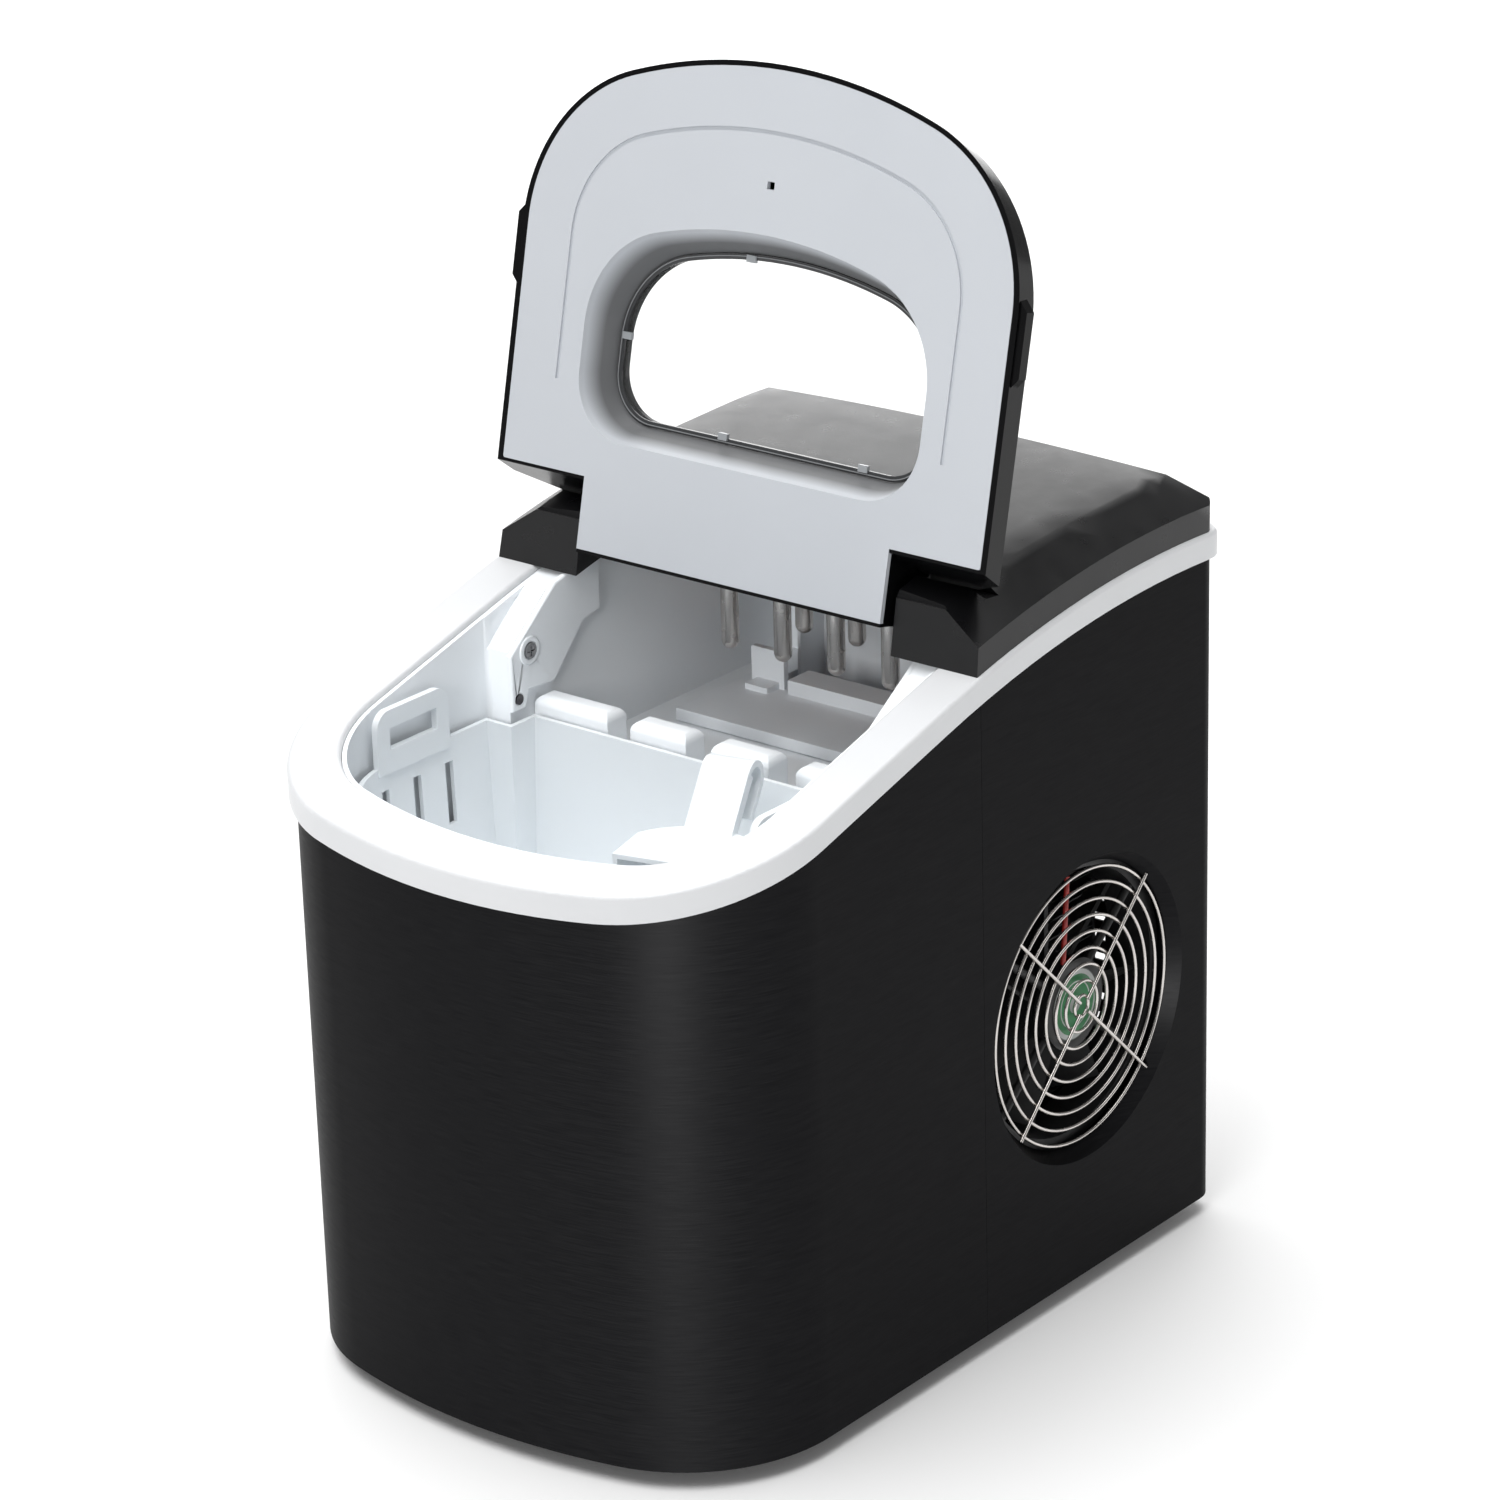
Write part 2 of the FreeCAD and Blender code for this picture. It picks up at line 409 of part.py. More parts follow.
# shoulders: the ledge falls away towards the front along a slanted plate on each side
for sx, (ya, za, yb, zb) in ((-1, (-31.2, 262.0, -3.0, 285.0)), (1, (-31.2, 258.5, 10.6, 285.9))):
    prof = Part.Face(Part.makePolygon([V(0, ya - 2, za - 2 * (zb - za) / (yb - ya)), V(0, yb, zb), V(0, yb, 330), V(0, ya - 2, 330), V(0, ya - 2, za - 2 * (zb - za) / (yb - ya))]))
    wedge = prof.extrude(V(sx * 12.6, 0, 0))
    wedge.translate(V(sx * (ro - 2.0), 0, 0))
    web = Part.Face(Part.makePolygon([V(0, -30, za + (zb - za) * (-30 - ya) / (yb - ya)), V(0, yb, zb), V(0, yb, zb - 2.2), V(0, -30, za - 2.2 + (zb - za) * (-30 - ya) / (yb - ya)), V(0, -30, za + (zb - za) * (-30 - ya) / (yb - ya))])).extrude(V(sx * 12.7, 0, 0))
    web.translate(V(sx * ro, 0, 0))
    side = bx(min(sx * 98.0, sx * 99.8), max(sx * 98.0, sx * 99.8), -30, yb, za - 4, 330).common(under(H - 2.5))
    riser = bx(min(sx * ro, sx * 99.8), max(sx * ro, sx * 99.8), yb - 0.1, yb + 1.7, zb - 2.2, 330).common(under(H - 2.5))
    liner = liner.cut(wedge).fuse(side).fuse(web.common(under(H - 2.5))).fuse(riser)
feature("liner_tub", clean(liner))

# comb wall that the ice is pushed through
comb = bx(-86.8, 86.8, -16.0, -4.0, D["rear_floor"] + 0.05, 240.8)
for a, b2 in ((-48.5, -37), (-8.5, 4), (33, 46)):
    comb = comb.cut(bx(a, b2, -20, 0, 226, 250))
try:
    ed = [e for e in comb.Edges if e.CenterOfMass.z > 240 and e.Length > 5]
    comb2 = comb.makeFillet(4.2, ed)
    comb = comb2 if comb2.isValid() else comb
except Exception:
    print("comb fillet left out")
feature("ice_comb", clean(comb))

# side brackets with the level-sensor lenses
PR = [(-31.2, 238.2), (-31.2, 262), (-3, 285), (24, 291), (24, 266), (13, 264), (-5.5, 244), (-21, 245.2), (-23, 238.2)]
PR_LOW = [(-31.2, 238.2), (-31.2, 258.5), (10.6, 285.9), (24, 285.9), (24, 266), (13, 264), (-5.5, 244), (-21, 245.2), (-23, 238.2)]
lens, scr = [], []
for sx, lab in ((-1, "sensor_bracket_left"), (1, "sensor_bracket_right")):
    x0 = 84.4 if sx > 0 else -86.95
    pr = PR_LOW if sx > 0 else PR
    cy_, cz_ = (-13.0, 252.6) if sx > 0 else (-20.0, 261.6)
    f = Part.Face(Part.makePolygon([V(x0, a, c) for a, c in pr + pr[:1]])).extrude(V(2.55, 0, 0))
    try:
        fe = [e for e in f.Edges if abs(e.CenterOfMass.x) < 84.5]
        f2 = f.makeFillet(1.0, fe)
        f = f2 if f2.isValid() else f
    except Exception:
        print("bracket fillet left out")
    f = f.fuse(rod(5.8, (sx * 83.7, cy_, cz_), (sx * 85.5, cy_, cz_)))
    f = f.cut(rod(2.2, (sx * 80, -27.2, 243.0), (sx * 90, -27.2, 243.0))).cut(rod(1.5, (sx * 80, cy_, cz_), (sx * 90, cy_, cz_))).cut(rod(3.6, (sx * 80, cy_, cz_), (sx * 84.6, cy_, cz_)))
    feature(lab, clean(f))
    lens.append(rod(2.15, (sx * 84.0, -27.2, 243.0), (sx * 86.9, -27.2, 243.0)))
    head = rod(3.3, (sx * 83.4, cy_, cz_), (sx * 84.57, cy_, cz_))
    head = head.cut(bx(-90, 90, cy_ - 2.2, cy_ + 2.2, cz_ - 0.4, cz_ + 0.4).common(bx(-83.95, 83.95, -30, 0, 200, 300))).cut(bx(-90, 90, cy_ - 0.4, cy_ + 0.4, cz_ - 2.2, cz_ + 2.2).common(bx(-83.95, 83.95, -30, 0, 200, 300)))
    scr.append(head.fuse(rod(1.45, (sx * 84.57, cy_, cz_), (sx * 86.9, cy_, cz_))))
feature("sensor_lenses", Part.makeCompound(lens))
feature("bracket_screws", Part.makeCompound(scr))

# ---------------------------------------------------------------- ice basket and scoop
bh, bf, br, bw = D["basket_half"], D["basket_floor"], D["basket_rim"], D["basket_wall"]
bo = bh - D["body_half_width"]
bas = Part.makeLoft([outline(bh - 3, -142.5, 44.5, 246.7, -24, 6, bf), outline(bh, -145.2, 47.5, 249.7, -20.4, 6, br)], True, True)
bas_in = Part.makeLoft([outline(bh - 3 - bw, -142.5 + bw, 42.5, 244.7, -24 - bw, 4, bf + bw), outline(bh - bw, -145.2 + bw, 45.5, 247.7, -20.4 - bw, 4, br + 0.01)], True, True)
note = bx(83, 110, -34.5, 0, 100, 300).fuse(bx(-110, -83, -34.5, 0, 100, 300))
note_w = bx(81, 110, -36.5, 0, 100, 300).fuse(bx(-110, -81, -36.5, 0, 100, 300))
bas = bas.cut(bas_in.cut(note_w)).cut(note)
for sx in (-1, 1):
    for y in (-97, -78.5, -60):
        bas = bas.cut(bx(min(sx * 86, sx * 110), max(sx * 86, sx * 110), y - 2.3, y + 2.3, 199, 225))
    lug = bx(min(sx * 92.2, sx * 95.2), max(sx * 92.2, sx * 95.2), -101, -60, 232, 258)
    hole = bx(min(sx * 80, sx * 110), max(sx * 80, sx * 110), -94, -67, 241.5, 250.5)
    try:
        le = [e for e in lug.Edges if abs(abs(e.tangentAt(e.FirstParameter).x)) > 0.99 and e.CenterOfMass.z > 250]
        lug = lug.makeFillet(7.0, le)
    except Exception:
        pass
    bas = bas.fuse(lug.cut(hole))
feature("ice_basket", clean(bas))

# scoop: trough with one open side and a strap handle bent over at its end, standing in the basket
def trough(hw, dep, back, z0, z1):
    w2 = Part.Wire([Part.LineSegment(V(-hw, -dep, z0), V(-hw, back - 14, z0)).toShape(), Part.Arc(V(-hw, back - 14, z0), V(0, back, z0), V(hw, back - 14, z0)).toShape(),
                    Part.LineSegment(V(hw, back - 14, z0), V(hw, -dep, z0)).toShape(), Part.LineSegment(V(hw, -dep, z0), V(-hw, -dep, z0)).toShape()])
    return Part.Face(w2).extrude(V(0, 0, z1 - z0))


scoop = trough(25, 36, 0, 0, 80).cut(trough(23, 60, -2, -1, 78))
slant = Part.Face(Part.makePolygon([V(-40, -10, -1), V(-40, -60, -1), V(-40, -60, 40), V(-40, -10, -1)])).extrude(V(80, 0, 0))
scoop = scoop.cut(slant)
tk, rb = 2.6, 5.0
handle = bx(-10, 10, -tk, 0, 0, 26).fuse(bx(-10, 10, 2 * rb, 2 * rb + tk, 12, 26))
bend = Part.makeCylinder(rb + tk, 20, V(-10, rb, 26), V(1, 0, 0)).cut(Part.makeCylinder(rb, 20, V(-10, rb, 26), V(1, 0, 0))).common(bx(-10, 10, -20, 30, 26, 60))
handle = handle.fuse(bend)
for q in (-1, 1):
    handle = handle.fuse(bx(min(q * 8.2, q * 10), max(q * 8.2, q * 10), -0.1, 2.2, 0, 26))
handle.rotate(V(0, 0, 0), V(1, 0, 0), -41)
handle.translate(V(0, -4, 78.2))
scoop = scoop.fuse(handle)
scoop.Placement = Placement(V(46.5, -66, bf + bw + 0.4), Rotation(V(0, 0, 1), 14))
feature("ice_scoop", clean(scoop))

# ---------------------------------------------------------------- freezing fingers, evaporator, tray
fr, fb, fl = D["finger_rad"], D["finger_bottom"], D["finger_len"]
fing = [Part.makeCylinder(fr, fl - fr, V(x, y, fb + fr)).fuse(Part.makeSphere(fr, V(x, y, fb + fr))).removeSplitter().Solids[0]
        for x, y in [(k * 27.3, 69) for k in (-2, -1, 0, 1, 2)] + [(k * 13.65, 100) for k in (-3, -1, 1, 3)]]
feature("freezing_fingers", Part.makeCompound(fing))
ez = fb + fl + 0.02
ev = bx(-64, 64, 62, 107, ez, ez + 3).fuse(rod(4.5, (-70, 72, ez + 6.5), (66, 72, ez + 6.5))).fuse(rod(4.5, (-70, 97, ez + 6.5), (66, 97, ez + 6.5))).fuse(rod(4.5, (66, 72, ez + 6.5), (66, 97, ez + 6.5)))
feature("evaporator_tube", clean(ev))
evm = bx(-86.9, 86.9, 80, 89, ez + 11.05, ez + 13.5)
feature("evaporator_bracket", evm)

PY, PZ, tw = D["tray_pivot_y"], D["tray_pivot_z"], D["tray_wall"]
th_, td, tr = D["tray_half"], D["tray_depth"], D["tray_reach"]
tray = bx(-th_, th_, PY - tr, PY, PZ - td, PZ - 7).cut(bx(-th_ + tw, th_ - tw, PY - tr + tw, PY - tw, PZ - td + tw, PZ + 5))
for sx in (-1, 1):
    tray = tray.fuse(bx(min(sx * th_, sx * (th_ - tw)), max(sx * th_, sx * (th_ - tw)), PY - 12, PY, PZ - 20, PZ)).fuse(rod(5.0, (sx * (th_ - tw), PY, PZ), (sx * th_, PY, PZ)))
    tray = tray.fuse(rod(2.5, (sx * (th_ - tw), PY, PZ), (sx * (D["liner_rear_half"] + 3), PY, PZ)))
tray = clean(tray)
tray.Placement = Placement(V(0, PY, PZ), Rotation(V(1, 0, 0), D["tray_angle"])).multiply(Placement(V(0, -PY, -PZ), Rotation()))
feature("water_tray", tray)
liner_o = NODES["liner_tub"]
liner_o.Shape = clean(liner_o.Shape.cut(rod(2.56, (-120, PY, PZ), (120, PY, PZ))))
tm = rod(11.0, (92, PY, PZ), (108, PY, PZ)).fuse(bx(92, 95, PY - 20, PY + 20, PZ - 8, PZ + 8))
tm = tm.cut(rod(2.56, (85, PY, PZ), (96, PY, PZ)))
feature("tray_motor", clean(tm))

# pusher plate under the fingers
ph, pl, pk = D["pusher_half"], D["pusher_len"], D["pusher_thick"]
p1 = box("pusher_plate", ("pusher_half+70", "pusher_len", "pusher_thick"), (-70.0, 51.0, "rear_floor+3.4"))
p2 = box("pusher_lip", ("pusher_half+70", 2.0, 4.0), (-70.0, 51.0, "rear_floor+0.4"))
p3 = box("pusher_step", ("pusher_half+42", 14.0, 7.0), (-42.0, "51+pusher_len-14", "rear_floor+5.0"))
p4 = box("pusher_lug", (17.0, 3.0, 17.0), (-63.0, 92.0, "rear_floor+5.0"))
p7 = box("pusher_lug_foot", (12.0, 9.0, 3.5), (-60.5, 84.0, "rear_floor+5.0"))
p5 = box("pusher_rail_l", (3.0, "pusher_len", 3.6), (-70.0, 51.0, "rear_floor+0.4"))
p6 = box("pusher_rail_r", (3.0, "pusher_len", 3.6), ("pusher_half-3", 51.0, "rear_floor+0.4"))
node(join("pusher_all", [p1, p2, p3, p4, p5, p6, p7]), "ice_pusher")

# ---------------------------------------------------------------- fan, grille and label
wr = D["fan_wire"]
gx = 113.6
wires = []
for r in (4.5, 10.6, 17.4, 24.0, 30.9, 37.5, 44.2, 51.0, 57.5):
    wires.append(Part.makeTorus(r, wr, V(gx, fy, fz), V(1, 0, 0)))
sp = []
for a in (45, 135):
    c_, s_ = math.cos(math.radians(a)), math.sin(math.radians(a))
    for q in (-1, 1):
        sp.append(rod(wr, (gx + 1.35, fy + q * 3.6 * c_, fz + q * 3.6 * s_), (gx + 1.35, fy + q * 60.6 * c_, fz + q * 60.2 * s_)))
gr = sp[0].multiFuse(sp[1:] + wires)
feature("fan_grille", gr.Solids[0] if len(gr.Solids) == 1 else Part.makeCompound(gr.Solids))
ff = Part.makeCylinder(61.5, 20, V(88, fy, fz), V(1, 0, 0)).cut(Part.makeCylinder(56, 24, V(86, fy, fz), V(1, 0, 0)))
for sy in (-1, 1):
    for sz in (-1, 1):
        ff = ff.fuse(bx(88, 92, fy + sy * 50 - 8, fy + sy * 50 + 8, fz + sz * 50 - 8, fz + sz * 50 + 8).cut(Part.makeCylinder(59, 24, V(86, fy, fz), V(1, 0, 0))))
        a = math.atan2(sz * 1.0, sy * 1.25)
        ff = ff.fuse(rod(1.8, (105.6, fy + 17 * math.cos(a), fz + 17 * math.sin(a)), (105.6, fy + 58 * math.cos(a), fz + 58 * math.sin(a))))
ff = ff.fuse(Part.makeCylinder(D["fan_hub_rad"], 6.4, V(104, fy, fz), V(1, 0, 0)))
ff = ff.cut(rod(2.05, (100, fy, fz), (108, fy, fz)))
feature("fan_frame", clean(ff))
blades = []
for k in range(7):
    bl = Part.makeBox(1.6, 22, D["fan_tip_rad"] - 14, V(-0.8, -11, 12))
    bl.rotate(V(0, 0, 0), V(0, 0, 1), 52)
    bl.translate(V(93.0, 0, 0))
    bl.rotate(V(0, 0, 0), V(1, 0, 0), 360.0 / 7 * k)
    bl.translate(V(0, fy, fz))
    blades.append(bl.common(Part.makeCylinder(D["fan_tip_rad"], 40, V(75, fy, fz), V(1, 0, 0))))
rot = Part.makeCylinder(18, 15.6, V(87.1, fy, fz), V(1, 0, 0))
for bl in blades:
    rot = rot.fuse(bl)
feature("fan_rotor", clean(rot.fuse(rod(2.0, (100, fy, fz), (107.5, fy, fz)))))
lb = cyl("label_disc", "label_rad", 0.3, (110.42, "fan_y", "fan_z"), "x")
node(lb, "fan_label")
lead = Part.Wire([Part.LineSegment(V(108.4, fy - 4, fz + 19.4), V(108.4, fy - 4, fz + 30)).toShape(),
                  Part.LineSegment(V(108.4, fy - 4, fz + 30), V(108.4, fy - 2, fz + 55)).toShape()])
feature("fan_lead", clean(rod(1.1, (109.2, fy - 6, fz + 19.2), (109.2, fy - 3, fz + 56))))

# ---------------------------------------------------------------- refrigeration and water parts
fins = [bx(58, 80, 22, 132, 66 + D["fin_gap"] * k, 66.6 + D["fin_gap"] * k) for k in range(29)]
cond = fins[0].multiFuse(fins[1:] + [rod(3.2, (69, y, 62), (69, y, 182)) for y in (32, 54, 77, 100, 122)] + [bx(58, 80, 20, 22, 62, 182), bx(58, 80, 132, 134, 62, 182)])
feature("condenser", clean(cond))
cr, ch = D["compressor_rad"], D["compressor_high"]
turned("compressor", [(0, 0), (cr - 4, 0), (cr, 6), (cr, 52), (cr + 2, 52), (cr + 2, 56), (cr, 56), (cr, ch - 22), (cr - 14, ch - 6), (0, ch)], (-42, 92, 22))
m = [rod(8, (-42 + a, 92 + b3, 10.0), (-42 + a, 92 + b3, 21.95)) for a, b3 in ((-28, -28), (28, -28), (-28, 28), (28, 28))]
feature("compressor_mounts", Part.makeCompound(m))
turned("filter_drier", [(0, 0), (3, 0), (3, 8), (D["drier_rad"], 16), (D["drier_rad"], 64), (3, 72), (3, 80), (0, 80)], (40, 140, 60))
feature("suction_pipe", clean(rod(3.0, (-42, 92, 140.2), (-42, 92, 176)).fuse(Part.makeSphere(3.0, V(-42, 92, 176))).fuse(rod(3.0, (-42, 92, 176), (-96, 92, 176))).fuse(Part.makeSphere(3.0, V(-96, 92, 176))).fuse(rod(3.0, (-96, 92, 176), (-96, 92, 240)))))
pb = cyl("pump_motor", "pump_rad", 40.0, (20.0, -70.0, 32.0), "z")
pc = cyl("pump_volute", "pump_rad+4", 14.0, (20.0, -70.0, 72.0), "z")
pd_ = cyl("pump_outlet", 3.6, 12.0, (20.0, -70.0, 85.9), "z")
node(join("pump_all", [pb, pc, pd_]), "water_pump")
node(cyl("pump_foot", "pump_rad+3", 21.9, (20.0, -70.0, "body_bottom+pan_wall+0.05"), "z"), "pump_mount")
node(cyl("hose_tube", 4.5, 12.2, (20.0, -70.0, 97.95), "z"), "pump_hose")
node(box("board_plate", ("board_thick", 70.0, 68.0), (-104.0, -60.0, 34.0)), "power_board")
node(box("board_carrier_plate", (3.0, 80.0, 71.0), (-102.3, -65.0, 32.0)), "board_carrier")
v1 = cyl("valve_coil", 11.0, 26.0, (-5.0, 148.0, 150.0), "z")
v2 = cyl("valve_stem", 4.0, 44.0, (-5.0, 148.0, 141.0), "z")
node(join("valve_all", [v1, v2]), "hot_gas_valve")
ins = body_plan(fo + lw + 6, D["tank_floor"] - 8, 226, rear=-36, rr=2).cut(body_plan(fo + lw + 0.1, D["tank_floor"] - lw - 0.1, 240, rear=-20, rr=2)).cut(bx(-130, 130, -37, 0, 90, 240)).cut(rod(6, (20, -70, 90), (20, -70, 130)))
feature("tank_insulation", clean(ins))

# ---------------------------------------------------------------- gland, drain plug, fasteners
c, s, p = circle_body("cord_gland", [(0, 0, "gland_rad"), (0, 0, "gland_rad/2")], 8.0)
c.Placement = Placement(V(-80, 161.8, 46), Rotation(V(1, 0, 0), -90))
node(c, "cord_gland")
gshape = Part.makeCylinder(D["plug_rad"] - 3, 9.4, V(-118.4, -62, 20), V(1, 0, 0)).fuse(Part.makeCylinder(D["plug_rad"], 2.2, V(-120.3, -62, 20), V(1, 0, 0)))
feature("drain_plug", clean(gshape))
fp = NODES["front_wrap_panel"]
fp.Shape = clean(fp.Shape.cut(Part.makeCylinder(D["plug_rad"] - 3 + 0.05, 20, V(-125, -62, 20), V(1, 0, 0))))
sk = []
for x, z in ((-100, 60), (100, 60), (-100, 250), (100, 250)):
    sk.append(Part.makeCylinder(D["screw_rad"], 1.4, V(x, 167.45, z), V(0, 1, 0)))
feature("rear_screws", Part.makeCompound(sk))

doc.recompute()
bad = []
for o in doc.Objects:
    if "Invalid" in o.State or "Error" in o.State:
        bad.append(o.Name + " state")
for label, o in NODES.items():
    if o.Shape.isNull() or not o.Shape.isValid():
        bad.append(label + " shape")
if bad:
    raise SystemExit("failed objects: " + ", ".join(bad))
for label, o in NODES.items():
    o.Shape.exportStep("parts/" + label + ".step")
    bbx = o.Shape.BoundBox
    print("%-22s n=%d vol=%9.1f  x %.1f..%.1f y %.1f..%.1f z %.1f..%.1f" % (label, len(o.Shape.Solids), o.Shape.Volume, bbx.XMin, bbx.XMax, bbx.YMin, bbx.YMax, bbx.ZMin, bbx.ZMax))
print(len(NODES), "nodes")
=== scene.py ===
import json
import math
import bpy
import bmesh
from mathutils import Matrix, Vector


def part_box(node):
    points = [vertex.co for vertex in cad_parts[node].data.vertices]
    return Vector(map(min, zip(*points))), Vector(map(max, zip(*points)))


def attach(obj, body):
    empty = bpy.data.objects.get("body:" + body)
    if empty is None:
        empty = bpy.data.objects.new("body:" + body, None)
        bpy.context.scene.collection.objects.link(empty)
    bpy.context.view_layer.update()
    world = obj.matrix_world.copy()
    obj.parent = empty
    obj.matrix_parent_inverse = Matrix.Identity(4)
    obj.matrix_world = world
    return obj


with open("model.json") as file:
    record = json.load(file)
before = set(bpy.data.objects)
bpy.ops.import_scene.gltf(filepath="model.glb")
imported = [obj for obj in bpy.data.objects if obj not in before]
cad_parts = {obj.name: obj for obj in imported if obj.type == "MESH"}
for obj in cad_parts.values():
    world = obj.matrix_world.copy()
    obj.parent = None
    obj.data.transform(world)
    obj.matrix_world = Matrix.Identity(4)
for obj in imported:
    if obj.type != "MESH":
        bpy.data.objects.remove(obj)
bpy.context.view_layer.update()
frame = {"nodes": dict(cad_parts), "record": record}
scene = bpy.context.scene
N = frame["nodes"]

# ------------------------------------------------------------------ camera
yaw, pitch, roll = math.radians(39.513), math.radians(-21.657), math.radians(-1.645)
fwd = Vector((-math.sin(yaw) * math.cos(pitch), math.cos(yaw) * math.cos(pitch), math.sin(pitch)))
r0 = Vector((math.cos(yaw), math.sin(yaw), 0.0))
u0 = r0.cross(fwd)
rr = math.cos(roll) * r0 + math.sin(roll) * u0
uu = -math.sin(roll) * r0 + math.cos(roll) * u0
cam_data = bpy.data.cameras.new("camera")
cam_data.sensor_fit = "HORIZONTAL"
cam_data.sensor_width = 36.0
cam_data.lens = 124.56
cam_data.clip_start = 0.05
cam_data.clip_end = 60.0
cam = bpy.data.objects.new("camera", cam_data)
m = Matrix((rr, uu, -fwd)).transposed().to_4x4()
m.translation = Vector((1.206718, -1.450103, 0.980719))
cam.matrix_world = m
scene.collection.objects.link(cam)
scene.camera = cam
scene.view_settings.view_transform = "Standard"
scene.view_settings.look = "None"


# ------------------------------------------------------------------ materials
class Mat:
    """A principled material in object space with its own small graph."""

    def __init__(self, name, base, rough=0.4, metallic=0.0, **sockets):
        self.m = bpy.data.materials.new(name)
        self.m.use_nodes = True
        self.t = self.m.node_tree
        self.t.nodes.clear()
        self.out = self.t.nodes.new("ShaderNodeOutputMaterial")
        self.b = self.t.nodes.new("ShaderNodeBsdfPrincipled")
        self.t.links.new(self.b.outputs[0], self.out.inputs[0])
        self.b.inputs["Base Color"].default_value = (*base, 1.0)
        self.b.inputs["Roughness"].default_value = rough
        self.b.inputs["Metallic"].default_value = metallic
        for k, v in sockets.items():
            self.b.inputs[k.replace("_", " ")].default_value = v
        self.tc = self.t.nodes.new("ShaderNodeTexCoord")
        self.base = base
        self.normal = None

    def noise(self, scale, detail=3.0, stretch=(1, 1, 1), rough=0.55):
        mp = self.t.nodes.new("ShaderNodeMapping")
        mp.inputs["Scale"].default_value = stretch
        self.t.links.new(self.tc.outputs["Object"], mp.inputs["Vector"])
        n = self.t.nodes.new("ShaderNodeTexNoise")
        n.inputs["Scale"].default_value = scale
        n.inputs["Detail"].default_value = detail
        n.inputs["Roughness"].default_value = rough
        self.t.links.new(mp.outputs[0], n.inputs["Vector"])
        return n.outputs["Fac"]

    def ramp(self, src, lo, hi, a, b):
        r = self.t.nodes.new("ShaderNodeMapRange")
        r.inputs["From Min"].default_value = lo
        r.inputs["From Max"].default_value = hi
        r.inputs["To Min"].default_value = a
        r.inputs["To Max"].default_value = b
        self.t.links.new(src, r.inputs["Value"])
        return r.outputs[0]

    def tint(self, src, a, b, lo=0.3, hi=0.7):
        """Base colour between a and b by src."""
        f = self.ramp(src, lo, hi, 0.0, 1.0)
        mx = self.t.nodes.new("ShaderNodeMix")
        mx.data_type = "RGBA"
        mx.inputs["A"].default_value = (*a, 1.0)
        mx.inputs["B"].default_value = (*b, 1.0)
        for s in mx.inputs:
            if s.name == "A" and s.type == "RGBA":
                s.default_value = (*a, 1.0)
            if s.name == "B" and s.type == "RGBA":
                s.default_value = (*b, 1.0)
        self.t.links.new(f, mx.inputs[0])
        outc = [o for o in mx.outputs if o.type == "RGBA"][0]
        self.t.links.new(outc, self.b.inputs["Base Color"])
        return outc

    def roughness(self, src, a, b, lo=0.3, hi=0.7):
        self.t.links.new(self.ramp(src, lo, hi, a, b), self.b.inputs["Roughness"])

    def bump(self, src, strength, dist=0.0005):
        bp = self.t.nodes.new("ShaderNodeBump")
        bp.inputs["Strength"].default_value = strength
        bp.inputs["Distance"].default_value = dist
        self.t.links.new(src, bp.inputs["Height"])
        if self.normal is not None:
            self.t.links.new(self.normal, bp.inputs["Normal"])
        self.normal = bp.outputs[0]
        self.t.links.new(self.normal, self.b.inputs["Normal"])


def plastic(name, base, rough, var=0.04, bump=0.06, grain=900.0, **sockets):
    k = Mat(name, base, rough, **sockets)
    big = k.noise(14.0, 2.0)
    fine = k.noise(grain, 2.0)
    k.tint(big, tuple(c * (1 - var) for c in base), tuple(min(1.0, c * (1 + var)) for c in base))
    k.roughness(k.noise(90.0, 3.0), rough * 0.88, rough * 1.14)
    k.bump(fine, bump, 0.0002)
    return k


MATS = {}
k = Mat("black_brushed_steel", (0.0032, 0.0032, 0.0034), 0.36, 0.0)
k.b.inputs["Specular IOR Level"].default_value = 0.030
k.b.inputs["Anisotropic"].default_value = 0.0
brush = k.noise(60.0, 5.0, (1.2, 1.2, 42.0))
fine = k.noise(260.0, 3.0, (0.5, 0.5, 16.0))
k.tint(brush, (0.0012, 0.0012, 0.0014), (0.0026, 0.0026, 0.0028))
k.roughness(fine, 0.38, 0.50)
k.bump(fine, 0.10, 0.00012)
MATS["black_steel"] = k
MATS["white_abs"] = plastic("white_collar_plastic", (0.74, 0.75, 0.765), 0.33, 0.02, 0.05, 700.0)
k = Mat("white_lid_plastic", (0.60, 0.63, 0.67), 0.40)
tilt = math.radians(-118.0)
depth = k.t.nodes.new("ShaderNodeVectorMath")
depth.operation = "DOT_PRODUCT"
k.t.links.new(k.tc.outputs["Object"], depth.inputs[0])
pane_big = max(N["lid_window"].data.polygons, key=lambda p: p.area)
pane_n = (N["lid_window"].matrix_world.to_3x3() @ pane_big.normal).normalized()
if pane_n.y > 0:
    pane_n = -pane_n
depth.inputs[1].default_value = pane_n
# Painted shade: where the lid liner lies more than about 2 mm behind the plate face (the recess walls round the
# window), its base colour is mixed by depth toward dark grey 0.18.
front_d = max((N["lid_liner"].matrix_world @ v.co).dot(pane_n) for v in N["lid_liner"].data.vertices)
deep = k.ramp(depth.outputs["Value"], front_d - 0.010, front_d - 0.0022, 1.0, 0.0)
face = k.tint(k.noise(14.0, 2.0), (0.580, 0.605, 0.642), (0.595, 0.620, 0.657))
painted_recess_shade_mix = k.t.nodes.new("ShaderNodeMix")
painted_recess_shade_mix.data_type = "RGBA"
cols = [q for q in painted_recess_shade_mix.inputs if q.type == "RGBA"]
k.t.links.new(deep, painted_recess_shade_mix.inputs[0])
k.t.links.new(face, cols[0])
cols[1].default_value = (0.180, 0.184, 0.190, 1.0)
k.t.links.new([o for o in painted_recess_shade_mix.outputs if o.type == "RGBA"][0], k.b.inputs["Base Color"])
k.roughness(k.noise(90.0, 3.0), 0.35, 0.45)
